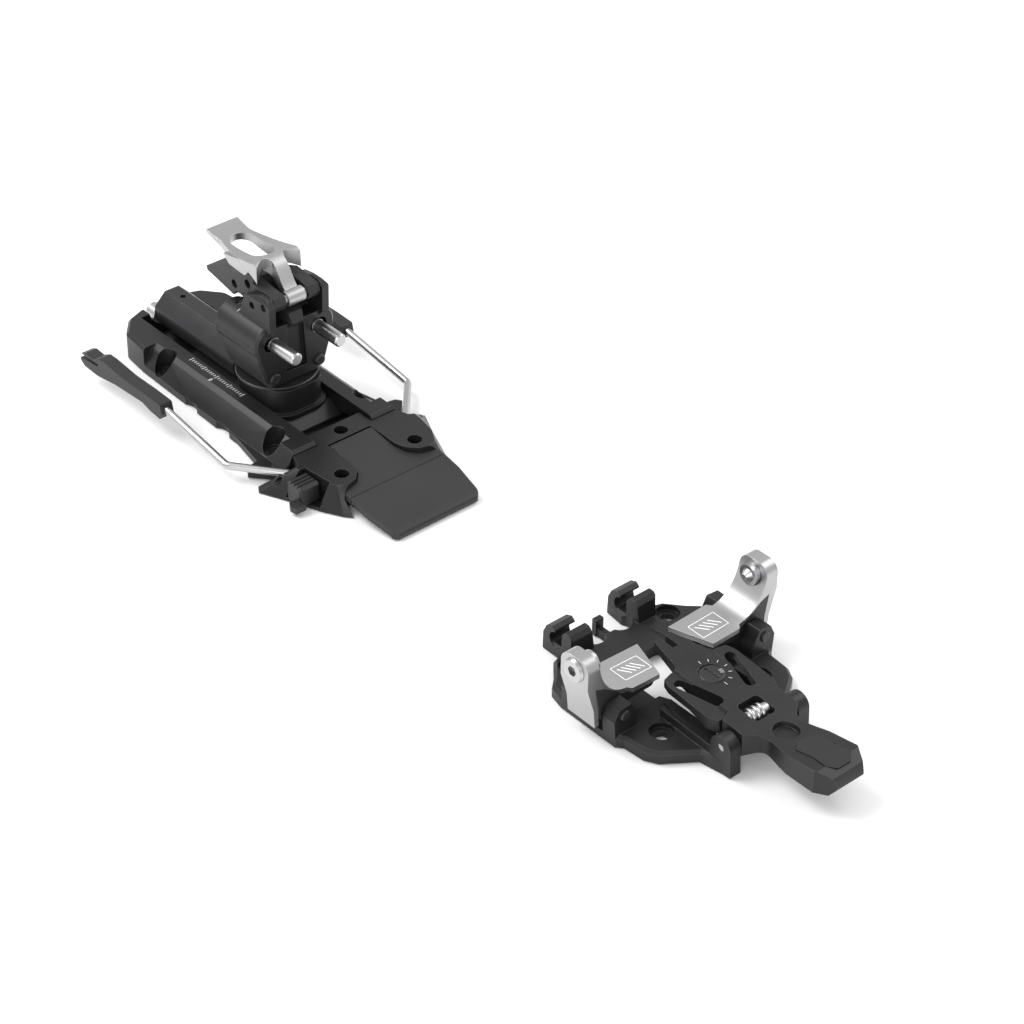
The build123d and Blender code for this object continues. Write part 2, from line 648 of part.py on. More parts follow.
def pad_front():
    """Front plate of the pad, sloping down to the ski, with round corners and a front lip."""
    with BuildPart() as pad:
        with BuildSketch(profile(HEEL_X)):
            Polygon((34.9, 8.1), (58, 4.0), (60.4, 3.2), (61, 2.0), (60.6, 0.4), (58.6, 0.4),
                    (58, 1.2), (37.2, 4.9),
                    (35.4, 5.4), align=None)
        extrude(amount=25, both=True)
        with BuildSketch(plan(HEEL_X, 0)) as shape:
            Polygon(*both_halves([(30, 24.2), (44, 24.2), (61.5, 21.8)]), align=None)
            fillet(shape.vertices().sort_by(Axis.X)[-2:], 5)
        extrude(amount=20, mode=Mode.INTERSECT)
        # clears the rear plate's knuckles and keeps one of its own in the middle
        with BuildSketch(profile(CREASE_X, z=CREASE_Z)):
            Circle(1.5)
        extrude(amount=25, both=True, mode=Mode.SUBTRACT)
        with BuildSketch(profile(CREASE_X, z=CREASE_Z)):
            Circle(1.3)
            with Locations((1.1, 0)):
                Rectangle(2.2, 2.2)
        extrude(amount=8.8, both=True)
        with BuildSketch(profile(CREASE_X, z=CREASE_Z)):
            Circle(0.75 + RUNNING)
        extrude(amount=30, both=True, mode=Mode.SUBTRACT)
    save(pad, "pad_front")


def pad_hinge_pins():
    with BuildPart() as rear_pin:
        with BuildSketch(profile(PAD_AXIS_X, z=PAD_AXIS_Z)):
            Circle(0.9)
        extrude(amount=13.4, both=True)
    save(rear_pin, "pad_pivot_pin")
    with BuildPart() as crease_pin:
        with BuildSketch(profile(CREASE_X, z=CREASE_Z)):
            Circle(0.75)
        extrude(amount=23.6, both=True)
    save(crease_pin, "pad_crease_pin")


def brake_arms():
    """Each arm: steel wire bent out of the base and back along the ski, with a plastic paddle."""
    for name, side in SIDES.items():
        route = [
            (ARM_AXIS_X, side * 17.5, ARM_AXIS_Z), (ARM_AXIS_X, side * 29.4, ARM_AXIS_Z),
            (HEEL_X - 17, side * ARM_Y, 6.6), (HEEL_X - 66, side * ARM_Y, 13.4),
        ]
        with BuildPart() as wire:
            with BuildLine() as path:
                FilletPolyline(*route, radius=3.4)
            with BuildSketch(profile(ARM_AXIS_X, side * 17.5, ARM_AXIS_Z)):
                Circle(ARM_WIRE_R)
            sweep()
        save(wire, f"brake_arm_{name}")
        with BuildPart() as paddle:
            with BuildSketch(profile(HEEL_X, side * ARM_Y)) as blade:
                with BuildLine():
                    Polyline(
                        (-58.6, 15.6), (-57.6, 11.5), (-59, 8.6), (-66, 9.2), (-72, 10.6),
                        (-92, 9.2), (-105, 7.0),
                        (-114.5, 7.2), (-117.5, 9.2), (-117, 12.6), (-113.5, 14.2),
                        (-108, 13.8), (-103, 16.4),
                        (-98, 16.6), (-84, 15.4), (-70, 15.8), close=True,
                    )
                make_face()
                fillet(blade.vertices(), 0.9)
            extrude(amount=3.0, both=True)
            with BuildSketch(profile(HEEL_X, side * ARM_Y)):
                Polygon((-119, 10.2), (-104, 12.0), (-104, 13.2), (-119, 12.6), align=None)
            extrude(amount=4, both=True, mode=Mode.SUBTRACT)
            start = (HEEL_X - 66, side * ARM_Y, 13.4)
            with BuildSketch(Plane(origin=start, x_dir=(0, 1, 0), z_dir=(0.9905, 0, -0.1375))):
                Circle(ARM_WIRE_R + 0.02)
            extrude(amount=12, mode=Mode.SUBTRACT)
        save(paddle, f"arm_paddle_{name}")


def brake_lock():
    """Button that slides along the ski and holds the pad down, with a tail under the base's edge."""
    with BuildPart() as button:
        with BuildSketch(plan(HEEL_X + 15.2, 1.4, -32.8)):
            RectangleRounded(9.4, 10, 1.2)
        extrude(amount=8.4)
        chamfer(button.edges().group_by(Axis.Z)[-1], 0.8)
        with BuildSketch(profile(HEEL_X + 15.2, z=9.8)):
            with Locations(*[(step, 0) for step in (-2.0, 0, 2.0)]):
                Rectangle(0.7, 1.2)
        extrude(amount=50, mode=Mode.SUBTRACT)
        with BuildSketch(plan(HEEL_X, 1.4)):
            Polygon((16.5, -37), (22.4, -37), (22.4, -42), (19, -42.5), (16.5, -41), align=None)
        extrude(amount=2.4)
    save(button, "brake_lock")


def brake_springs():
    """Torsion springs round the arms' bearings, held in the base."""
    with BuildPart() as springs:
        with BuildSketch(profile(ARM_AXIS_X, z=ARM_AXIS_Z)):
            Circle(1.6)
            Circle(0.8, mode=Mode.SUBTRACT)
        extrude(amount=17.0, both=True)
        with BuildSketch(profile(ARM_AXIS_X, z=ARM_AXIS_Z)):
            Circle(5)
        extrude(amount=9, both=True, mode=Mode.SUBTRACT)
    save(springs, "brake_springs")


# ---------------------------------------------------------------- toe unit: base
def toe_base():
    half = [(-33, 10), (-46, JAW_IN), (-46, JAW_OUT), (-35, JAW_OUT), (-33, 27.5), (-26, 33.5), (-22, 38)]
    half += [(-15, 39.6), (14, 39.6), (16.5, 37.4), (26, 36.6), (31, 33.8), (39.5, 21.8), (49, 20.2)]
    half += [(52, 17.8), (52, 14.6), (40, 12.6), (36, 10.5)]
    with BuildPart() as base:
        with BuildSketch(plan(TOE_X, 0)):
            Polygon(*both_halves(half), align=None)
        extrude(amount=TOE_PLATE_TOP)
        chamfer(base.edges().group_by(Axis.Z)[-1], 1.2)
        # open middle, down to the ski
        with BuildSketch(plan(TOE_X, -1)):
            Polygon(*both_halves([(-15, 8), (-10, 12.5), (6, 12.5), (12, 9.8), (45, 9.8)]), align=None)
        extrude(amount=20, mode=Mode.SUBTRACT)
        # scalloped rear edge on both sides of a small clip
        with BuildSketch(plan(TOE_X - 34, -1)):
            with Locations((0, 6.6), (0, -6.6)):
                Circle(4.9)
        extrude(amount=20, mode=Mode.SUBTRACT)
        with BuildSketch(plan(TOE_X, 0)):
            Polygon(*both_halves([(-39.4, 1.3), (-30, 1.3)]), align=None)
        extrude(amount=3.4)
        with BuildSketch(plan(TOE_X, 0)):
            Polygon(*both_halves([(-40, 1.9), (-37.8, 1.9)]), align=None)
        extrude(amount=7.4)
        # low ribs from the opening forward, and a ridge from each jaw to the wing lugs
        with BuildSketch(plan(TOE_X, 0)):
            for side in SIDES.values():
                Polygon(
                    (12, side * 10.2), (40, side * 13), (40, side * 17.2), (12, side * 13.6), align=None,
                )
                Polygon(
                    (-24, side * 12.5), (-12, side * 15), (-12, side * 19), (-24, side * 21), align=None,
                )
        extrude(amount=5.6)
        # tall outer walls that brace the posts
        with BuildSketch(plan(TOE_X, 0)):
            for side in SIDES.values():
                Polygon(
                    (16, side * 17.4), (43, side * 17.4), (43, side * 20), (16, side * 19.4), align=None,
                )
        extrude(amount=8.6)
        # posts of the lever's axle
        with BuildSketch(profile(TOE_X)):
            with BuildLine():
                Polyline((41.0, 0), (42.6, 10.8))
                ThreePointArc((42.6, 10.8), (47.5, 15.7), (52.4, 10.8))
                Polyline((52.4, 10.8), (53.0, 0), (41.0, 0))
            make_face()
        extrude(amount=20, both=True)
        with BuildSketch(plan(TOE_X + 60, -1)):
            Rectangle(40, 29.2)
        extrude(amount=30, mode=Mode.SUBTRACT)
        # crampon jaws, each with a round-bottomed slot across the ski
        for side in SIDES.values():
            with BuildSketch(profile(TOE_X, side * (JAW_IN + JAW_OUT) / 2)):
                Polygon((-46, 0), (-45.8, 8), (-44, 11.8), (-41, 13), (-39.4, 11.8), (-38.8, 9), (-35.6, 8),
                        (-35.2, 12.4), (-33.8, 14), (-31.4, 14), (-29.6, 12.2), (-28.2, 5),
                        (-26, 0), align=None)
                with Locations((-38.8, 7.6)):
                    Circle(3.5, mode=Mode.SUBTRACT)
                with Locations((-37.2, 11)):
                    Rectangle(3.4, 8, rotation=-14, mode=Mode.SUBTRACT)
            extrude(amount=(JAW_OUT - JAW_IN) / 2, both=True)
        # lugs that carry the wings' pivot pins
        for start in (-14.2, 7.8):
            with BuildSketch(section(TOE_X + start)):
                for side in SIDES.values():
                    Polygon(
                        (side * 28.6, 0), (side * 29.6, 11), (side * 32.4, 16.8), (side * 38.2, 16.2),
                        (side * 40.4, 11.6), (side * 39.4, 0), align=None,
                    )
            extrude(amount=6.4)
        with BuildSketch(section(TOE_X - 20)):
            with Locations((WING_AXIS_Y, WING_AXIS_Z), (-WING_AXIS_Y, WING_AXIS_Z)):
                Circle(2.2)
        extrude(amount=40, mode=Mode.SUBTRACT)
        # room for the wings between the lugs
        with BuildSketch(plan(TOE_X, TOE_PLATE_TOP - 1.6)):
            with Locations((0, 30), (0, -30)):
                Rectangle(2 * WING_HALF + 0.8, 42)
        extrude(amount=20, mode=Mode.SUBTRACT)
        # lever axle and ski screws
        with BuildSketch(profile(LEVER_AXIS_X, z=LEVER_AXIS_Z)):
            Circle(LEVER_AXLE_R)
        extrude(amount=30, both=True, mode=Mode.SUBTRACT)
        with Locations((0, 0, TOE_PLATE_TOP)):
            with GridLocations(TOE_HOLE_SPACING, TOE_HOLE_SPACING, 2, 2):
                CounterBoreHole(SKI_SCREW_R, SKI_SCREW_HEAD_R, 2.4)
    save(base, "toe_base")


# ---------------------------------------------------------------- toe unit: wings
def toe_wings():
    """Each wing: a bright arm over a black core, turning on a pivot pin that runs along the ski."""
    for name, side in SIDES.items():
        with BuildPart() as arm:
            with BuildSketch(section(TOE_X - 9.2)):
                with BuildLine():
                    Line((side * 6, 17.0), (side * 28, 17.9))
                    Spline((side * 28, 17.9), (side * 36.6, 21.8), (side * 40.6, 28.6), (side * 41.8, 38))
                    Polyline(
                        (side * 41.8, 38), (side * 47.4, 38), (side * 47.4, 25.5), (side * 44.2, 14.6),
                        (side * 43.4, 6.6), (side * 41.4, 6.6), (side * 41.8, 14.8), (side * 43.6, 24.4),
                        (side * 39.2, 22.6), (side * 30, 15.8), (side * 6, 14.9), (side * 6, 17.0),
                    )
                make_face()
            extrude(amount=18.4)
            with BuildSketch(plan(TOE_X, 0)):
                Polygon(
                    (-9.2, side * 7.8), (9.0, side * 13.6), (9.0, side * 27), (WING_HALF, side * 28.4),
                    (WING_HALF, side * 50), (-WING_HALF, side * 50),
                    (-WING_HALF, side * 28.4), (-9.2, side * 27),
                    align=None,
                )
            extrude(amount=50, mode=Mode.INTERSECT)
            # round head about the boot pin
            with BuildSketch(profile(TOE_X)):
                with BuildLine():
                    Polyline((-9.2, 0), (-9.2, 21), (-WING_HALF, 28), (-WING_HALF, 32.6))
                    ThreePointArc((-WING_HALF, 32.6), (-5.6, 35.8), (-2.6, 37.0))
                    Line((-2.6, 37.0), (2.6, 37.0))
                    ThreePointArc((2.6, 37.0), (5.6, 35.8), (WING_HALF, 32.6))
                    Polyline((WING_HALF, 32.6), (WING_HALF, 28), (9.2, 21), (9.2, 0), (-9.2, 0))
                make_face()
            extrude(amount=60, both=True, mode=Mode.INTERSECT)
            with BuildSketch(profile(TOE_X, z=TOE_PIN_Z)):
                Circle(3.4)
            extrude(amount=-side * 60, mode=Mode.SUBTRACT)
            with BuildSketch(profile(TOE_X, side * 41.75, TOE_PIN_Z)):
                Circle(4.6)
            extrude(amount=side * 8, mode=Mode.SUBTRACT)
        save(arm, f"wing_arm_{name}")
        with BuildPart() as core:
            with BuildSketch(section(TOE_X - WING_HALF)):
                Polygon(
                    (side * 13.6, 14.9), (side * 29.9, 15.6), (side * 39.2, 22.5), (side * 43.4, 24.2),
                    (side * 41.6, 15), (side * 40.6, 9.4), (side * 36.5, 7.6), (side * 31.5, 8.6),
                    (side * 28.5, 11.2), (side * 15.5, 11.8), align=None,
                )
            extrude(amount=2 * WING_HALF)
            with BuildSketch(section(TOE_X - 10)):
                with Locations((side * WING_AXIS_Y, WING_AXIS_Z)):
                    Circle(2.2 + RUNNING)
            extrude(amount=20, mode=Mode.SUBTRACT)
        save(core, f"wing_core_{name}")
        with BuildPart() as pin:
            with BuildSketch(section(TOE_X, TOE_PIN_Z)):
                Polygon(
                    (side * 36.9, 0), (side * 36.9, 1.2), (side * 38.9, 2.7), (side * 38.9, 4.3),
                    (side * 41.7, 4.3), (side * 41.7, 3.38), (side * 47.45, 3.38), (side * 47.45, 4.9),
                    (side * 48.6, 4.4), (side * 48.6, 0), align=None,
                )
            revolve(axis=Axis((TOE_X, 0, TOE_PIN_Z), (0, 1, 0)))
            with BuildSketch(profile(TOE_X, side * 48.7, TOE_PIN_Z)):
                RegularPolygon(2.2, 6)
            extrude(amount=side * 3, mode=Mode.SUBTRACT)
        save(pin, f"toe_pin_{name}")
    with BuildPart() as pivots:
        with BuildSketch(section(TOE_X - 15)):
            with Locations((WING_AXIS_Y, WING_AXIS_Z), (-WING_AXIS_Y, WING_AXIS_Z)):
                Circle(2.2)
        extrude(amount=30)
        chamfer(pivots.edges().group_by(Axis.X)[-1], 0.4)
    save(pivots, "wing_pivots")


# ---------------------------------------------------------------- toe unit: lever
def toe_lever():
    deep = [(-4, 19.6), (12, 19.2), (24, 18.2), (40, 17.2), (53, 16.4), (59, 15.9), (66, 16.6), (85, 19.4)]
    deep += [(90, 17.6), (92, 13.6), (89, 9.6), (66, 8.6), (58, 9.2), (51.6, 6.6), (43.4, 6.6), (40, 9.8)]
    deep += [(24, 10.6), (12, 14.6), (-4, 16.4)]
    spine = [(-4, 4.2), (4, 6.6), (8, 8.2), (11, 8.2), (13, 9.2), (40, 9.2), (42, 14.0), (52, 14.0)]
    spine += [(56, 9.4), (60, 8.2), (71, 10.4), (84, 10.8), (91.6, 6.6)]
    with BuildPart() as lever:
        with BuildSketch(profile(TOE_X)):
            Polygon(*deep, align=None)
        extrude(amount=17, both=True)
        with BuildSketch(plan(TOE_X, 0)) as waist:
            Polygon(*both_halves(spine), align=None)
            fillet(waist.vertices().filter_by_position(Axis.X, TOE_X + 55, TOE_X + 68), 6)
        extrude(amount=30, mode=Mode.INTERSECT)
        # thin shoulders beside the dial
        with BuildSketch(profile(TOE_X)) as shoulder:
            Polygon((11.6, 16.9), (12.4, 18.4), (24, 17.6), (41, 16.2), (42, 10.4),
                    (38, 11.2), (28, 14.2), (12, 15.2),
                    align=None)
        extrude(amount=17, both=True)
        with BuildSketch(plan(TOE_X, 0)) as outline:
            Polygon(*both_halves([(-6, 4), (11.5, 8), (13.5, 15.6), (17, 16.8), (37, 16.8),
                    (43, 13.9), (95, 13.9)]),
                    align=None)
        extrude(amount=40, mode=Mode.INTERSECT)
        # long slots between the shoulders and the spine
        with BuildSketch(plan(TOE_X, 0)):
            for side in SIDES.values():
                with Locations((26, side * 10.4)):
                    SlotOverall(20, 4.6, rotation=-side * 17)
        extrude(amount=40, mode=Mode.SUBTRACT)
        # thumb dimple ahead of the axle
        with BuildSketch(plan(TOE_X + 60, 14.2)):
            Circle(4.4)
        extrude(amount=6, taper=-20, mode=Mode.SUBTRACT)
        # dial seat, window over the roller and seat of the rubber insert
        with BuildSketch(plan(TOE_X + 22, 16.2)):
            Circle(5.1)
        extrude(amount=6, mode=Mode.SUBTRACT)
        with BuildSketch(plan(TOE_X + 45, 13.6)):
            RectangleRounded(10.6, 10.4, 1.8)
        extrude(amount=8, mode=Mode.SUBTRACT)
        with BuildSketch(plan(TOE_X, 14.6)) as pocket:
            Polygon(*both_halves([(67.6, 2.4), (70.6, 6.0), (78, 5.2), (85, 6.2), (88, 3.0)]), align=None)
            offset(amount=0.06)
        extrude(amount=8, mode=Mode.SUBTRACT)
        # fork at the rear end
        with BuildSketch(plan(TOE_X, 0)):
            Polygon((-5, 1.4), (3, 1.4), (3, -1.4), (-5, -1.4), align=None)
        extrude(amount=40, mode=Mode.SUBTRACT)
        with BuildSketch(profile(LEVER_AXIS_X, z=LEVER_AXIS_Z)):
            Circle(LEVER_AXLE_R + RUNNING)
        extrude(amount=30, both=True, mode=Mode.SUBTRACT)
    save(lever, "toe_lever")


def lever_fittings():
    with BuildPart() as axle:
        with BuildSketch(profile(LEVER_AXIS_X, z=LEVER_AXIS_Z)):
            Circle(LEVER_AXLE_R)
        extrude(amount=19.6, both=True)
    save(axle, "lever_axle")
    with BuildPart() as insert:
        with BuildSketch(plan(TOE_X, 14.6)):
            Polygon(*both_halves([(67.6, 2.4), (70.6, 6.0), (78, 5.2), (85, 6.2), (88, 3.0)]), align=None)
        extrude(amount=7)
        with BuildSketch(profile(TOE_X)):
            Polygon((60, 15.9), (84, 19.7), (90, 18.6), (90, 30), (60, 30), align=None)
        extrude(amount=20, both=True, mode=Mode.SUBTRACT)
    save(insert, "lever_insert")
    with BuildPart() as dial:
        with BuildSketch(plan(TOE_X + 22, 16.25)):
            Circle(5.0)
        extrude(amount=2.3)
        chamfer(dial.edges().group_by(Axis.Z)[-1], 0.4)
        with BuildSketch(plan(TOE_X + 22, 17.9)):
            Rectangle(7.4, 1.4)
        extrude(amount=2, mode=Mode.SUBTRACT)
    save(dial, "dial")
    with BuildPart() as roller:
        with BuildSketch(profile(TOE_X + 45, z=14.2)):
            Circle(2.6)
        extrude(amount=4.9, both=True)
        with BuildSketch(plan(TOE_X + 45, 5)):
            Rectangle(20, 20)
        extrude(amount=8.65, mode=Mode.SUBTRACT)
    save(roller, "lock_roller")


heel_housing()
lead_screw()
carriage()
swivel_ring()
release_tube()
release_cap()
release_spring()
release_plunger()
tower()
tower_post()
vertical_release()
heel_pins()
face_screws()
riser_axle()
upper_riser()
lower_riser()
riser_magnets()
brake_base()
pad_rear()
pad_front()
pad_hinge_pins()
brake_arms()
brake_lock()
brake_springs()
toe_base()
toe_wings()
toe_lever()
lever_fittings()
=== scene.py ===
# %% [markdown]
# # A pin touring binding, piece by piece
# The binding is two machined units on one ski: a heel unit whose tower holds two steel pins, and a toe
# unit whose two wings grip the boot. The measured solids come in first, because every later choice
# of edge, grain and light depends on their real size.

# %% Load the measured solids
import json
import math

import bmesh
import bpy
from mathutils import Matrix, Vector


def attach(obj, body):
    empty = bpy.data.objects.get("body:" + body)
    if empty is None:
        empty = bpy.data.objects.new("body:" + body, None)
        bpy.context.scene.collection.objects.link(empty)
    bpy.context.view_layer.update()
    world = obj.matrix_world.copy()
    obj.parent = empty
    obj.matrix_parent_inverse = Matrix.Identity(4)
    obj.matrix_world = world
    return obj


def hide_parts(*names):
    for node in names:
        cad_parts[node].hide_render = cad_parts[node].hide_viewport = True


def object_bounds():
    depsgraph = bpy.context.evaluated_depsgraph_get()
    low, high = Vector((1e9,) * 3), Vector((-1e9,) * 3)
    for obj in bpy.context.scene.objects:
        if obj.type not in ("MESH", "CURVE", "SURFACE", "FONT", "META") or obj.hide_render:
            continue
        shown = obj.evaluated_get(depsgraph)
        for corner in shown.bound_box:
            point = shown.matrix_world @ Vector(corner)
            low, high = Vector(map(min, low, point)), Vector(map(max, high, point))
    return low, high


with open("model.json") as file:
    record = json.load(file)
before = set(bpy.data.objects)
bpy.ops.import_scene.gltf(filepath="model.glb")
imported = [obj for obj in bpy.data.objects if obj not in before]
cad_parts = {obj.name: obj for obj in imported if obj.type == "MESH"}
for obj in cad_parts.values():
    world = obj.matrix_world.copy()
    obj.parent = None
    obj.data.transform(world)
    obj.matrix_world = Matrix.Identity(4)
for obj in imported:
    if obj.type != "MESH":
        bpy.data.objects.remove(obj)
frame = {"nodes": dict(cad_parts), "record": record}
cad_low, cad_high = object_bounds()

BODY_OF = {node: body for body, nodes in frame["record"]["behaviour"]["bodies"].items() for node in nodes}
SLOT_OF = {part["node"]: part["material_slot"] for part in frame["record"]["subparts"]}
MM = 0.001

# %% [markdown]
# Shader sums read best as sums. One small class holds a socket and turns +, - and * into Math nodes, and
# one method makes every other kind of node, so a finish below is a few lines that say what it does.
# A Bevel node rounds only the shading, so a fine edge catches the light with no extra faces. Greys are
# linear values, and every finish reads places in metres, so a noise scale is its cells per metre.


# %% Wires and finishes
BEVEL_SAMPLES = 4
SOFT_EDGE = 0.0003  # metres: how far the shading of an edge is rounded
EDGE_GAIN = 9.0  # how strongly a turned normal counts as an edge
MIX_INPUTS = (0, 6, 7)  # a Mix node's factor and its two colour sockets, among all its kinds
MIX_OUTPUT = 2


class Wire:
    """An output socket that can be used in a Python expression."""

    def __init__(self, finish, socket):
        self.finish, self.socket = finish, socket

    def maths(self, operation, first, second):
        return self.finish.node("ShaderNodeMath", {"operation": operation}, {0: first, 1: second})

    def __add__(self, other):
        return self.maths("ADD", self, other)

    def __sub__(self, other):
        return self.maths("SUBTRACT", self, other)

    def __mul__(self, other):
        return self.maths("MULTIPLY", self, other)

    def __rsub__(self, other):
        return self.maths("SUBTRACT", other, self)

    __radd__ = __add__
    __rmul__ = __mul__


class Finish:
    """A material with one Principled shader, built from nodes."""

    def __init__(self, name):
        self.material = bpy.data.materials.new(name)
        self.material.use_nodes = True
        self.tree = self.material.node_tree
        self.shader = self.tree.nodes["Principled BSDF"]
        self.place = self.node("ShaderNodeTexCoord", out="Object")

    def node(self, kind, settings=None, values=None, out=0):
        made = self.tree.nodes.new(kind)
        for key, value in (settings or {}).items():
            setattr(made, key, value)
        for key, value in (values or {}).items():
            if isinstance(value, Wire):
                self.tree.links.new(value.socket, made.inputs[key])
            else:
                made.inputs[key].default_value = value
        return Wire(self, made.outputs[out])

    def mix(self, amount, low, high):
        made = self.tree.nodes.new("ShaderNodeMix")
        made.data_type = "RGBA"
        for number, value in zip(MIX_INPUTS, (amount, low, high)):
            socket = made.inputs[number]
            if isinstance(value, Wire):
                self.tree.links.new(value.socket, socket)
            else:
                socket.default_value = value
        return Wire(self, made.outputs[MIX_OUTPUT])

    def noise(self, scale, detail=4.0, stretch=(1, 1, 1)):
        spread = self.node("ShaderNodeMapping", values={"Vector": self.place, "Scale": stretch})
        return self.node("ShaderNodeTexNoise", values={"Vector": spread, "Scale": scale, "Detail": detail})

    def edges(self, radius):
        """Near 1 where an edge turns, near 0 on a flat."""
        flat = self.node("ShaderNodeNewGeometry", out="Normal")
        turned = self.node("ShaderNodeBevel", {"samples": BEVEL_SAMPLES}, {"Radius": radius})
        dot = self.node(
            "ShaderNodeVectorMath", {"operation": "DOT_PRODUCT"}, {0: flat, 1: turned}, out="Value"
        )
        clamped = {"operation": "MULTIPLY", "use_clamp": True}
        return self.node("ShaderNodeMath", clamped, {0: 1 - dot, 1: EDGE_GAIN})

    def bump(self, height, distance):
        """A normal that is rounded at the edges and carries a fine relief, its distance in metres."""
        soft = self.node("ShaderNodeBevel", {"samples": BEVEL_SAMPLES}, {"Radius": SOFT_EDGE})
        return self.node("ShaderNodeBump", values={"Height": height, "Distance": distance, "Normal": soft})

    def set(self, **values):
        for key, value in values.items():
            socket = self.shader.inputs[key.replace("_", " ")]
            if isinstance(value, Wire):
                self.tree.links.new(value.socket, socket)
            else:
                socket.default_value = value
        return self.material


def grey(value, blue=1.0):
    """A grey of one brightness, with its blue turned up a little where the metal is cool."""
    return (value, value, value * blue, 1)


# %% [markdown]
# Most of the metal is black anodised aluminium. The dye lies in a thin oxide skin, so the parts keep a
# satin sheen, show the faint cloud of bead blasting, and wear through to grey first along their edges.
# The release tube, the dial and the small screws are a touch greyer, from the same recipe.

# %% Black anodised aluminium
def anodised(name, shade, worn, rough):
    skin = Finish(name)
    cloud = skin.noise(90, 3)
    grain = skin.noise(5200, 2)
    edge = skin.edges(0.00035)
    tone = skin.mix(cloud, grey(shade * 0.75, 1.05), grey(shade * 1.3, 1.08))
    return skin.set(
        Base_Color=skin.mix(edge * (cloud * 0.5 + 0.25), tone, grey(worn, 1.02)),
        Metallic=0.35, Roughness=cloud * 0.12 + rough + grain * 0.05 - edge * 0.06,
        Normal=skin.bump(grain, 0.000006),
    )


black_anodised = anodised("black anodised aluminium", 0.016, 0.11, 0.30)
tube_anodised = anodised("dark grey anodised aluminium", 0.026, 0.16, 0.26)

# %% [markdown]
# The brake's pad, paddles and lock button, the lower riser and the wings' cores are moulded nylon:
# blacker, duller, with a fine leathery mould grain that scatters the light. A cell pattern at about a
# third of a millimetre gives that grain. The lever's insert is rubber, with coarser cells and less gloss.


# %% Moulded nylon and rubber
def moulded(name, shade, rough, cell, depth):
    skin = Finish(name)
    grain = skin.node(
        "ShaderNodeTexVoronoi", {"feature": "SMOOTH_F1"}, {"Vector": skin.place, "Scale": cell}
    )
    flow = skin.noise(60, 3)
    edge = skin.edges(SOFT_EDGE)
    tone = skin.mix(flow, grey(shade * 0.8), grey(shade * 1.25))
    return skin.set(
        Base_Color=skin.mix(edge * 0.35, tone, grey(shade * 3.0)),
        Roughness=flow * 0.14 + rough - edge * 0.08, Normal=skin.bump(grain, depth),
    )


black_plastic = moulded("moulded black nylon", 0.012, 0.42, 2800, 0.00002)
lever_rubber = moulded("soft lever rubber", 0.009, 0.6, 1500, 0.00003)

# %% [markdown]
# The upper riser and the wings' arms are bare, bead-blasted aluminium: a fine grain, a faint cloud and
# edges that are rubbed a little brighter. Pins, wires and springs are ground steel. They are thin and
# round, so a rounded edge would only blotch them, and nothing but tone and gloss varies.


# %% Bright metals
def bead_blasted(shade, rough):
    skin = Finish("bead-blasted aluminium")
    grain = skin.noise(3600, 2)
    cloud = skin.noise(70, 3)
    edge = skin.edges(SOFT_EDGE)
    tone = skin.mix(cloud, grey(shade * 0.97, 1.01), grey(shade * 1.03, 1.01))
    return skin.set(
        Base_Color=skin.mix(edge * 0.6, tone, grey(shade * 1.25)), Metallic=1.0,
        Roughness=grain * 0.06 + rough + cloud * 0.04, Normal=skin.bump(grain, 0.000003),
    )


silver_aluminium = bead_blasted(0.46, 0.34)


def ground_steel():
    """The grinding runs lengthwise, so its noise is drawn out four times along X."""
    skin = Finish("ground steel")
    lay = skin.noise(900, 2, (0.25, 1, 1))
    tone = skin.mix(lay, grey(0.46, 1.01), grey(0.54, 1.01))
    return skin.set(Base_Color=tone, Metallic=1.0, Roughness=lay * 0.06 + 0.27)


steel = ground_steel()
ink = Finish("printed white marks")
speckle = ink.noise(4000, 2)
white_ink = ink.set(Base_Color=ink.mix(speckle, grey(0.5), grey(0.8)), Roughness=speckle * 0.2 + 0.5)
FINISHES = {
    "black_anodised": black_anodised, "tube_anodised": tube_anodised, "black_plastic": black_plastic,
    "lever_rubber": lever_rubber, "silver_aluminium": silver_aluminium, "steel": steel,
}
print("finishes", len(FINISHES) + 1)

# %% [markdown]
# A measured solid arrives as loose triangles. Its copy is welded and cleaned of faces with no area, and
# only edges that turn by less than 28 degrees are shaded smooth, so barrels look round and corners crisp.


# %% Weld and dress every piece
SMOOTH_BELOW = math.radians(28)
WELD_WITHIN = 2e-6
NO_AREA = 1e-6


def dress(node):
    source = frame["nodes"][node]
    mesh = bpy.data.meshes.new(node + "_dressed")
    work = bmesh.new()
    work.from_mesh(source.data)
    bmesh.ops.remove_doubles(work, verts=work.verts, dist=WELD_WITHIN)
    bmesh.ops.dissolve_degenerate(work, edges=work.edges, dist=NO_AREA)
    for face in work.faces:
        face.smooth = True
    for edge in work.edges:
        edge.smooth = len(edge.link_faces) == 2 and edge.calc_face_angle(0) < SMOOTH_BELOW
    work.to_mesh(mesh)
    work.free()
    piece = bpy.data.objects.new(node + "_dressed", mesh)
    bpy.context.scene.collection.objects.link(piece)
    mesh.materials.clear()
    mesh.materials.append(FINISHES[SLOT_OF[node]])
    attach(piece, BODY_OF[node])
    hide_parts(node)
    return piece


dressed = {node: dress(node) for node in sorted(BODY_OF)}
print("dressed", len(dressed))

# %% [markdown]
# Marks, knurls and coils repeat by a rule, so Geometry Nodes make them: a small recipe class keeps the
# named sizes on the tree's inputs, runs the tree once and hands back a plain mesh for the body it is on.
# Places are given in millimetres, along the ski from each unit's own line.


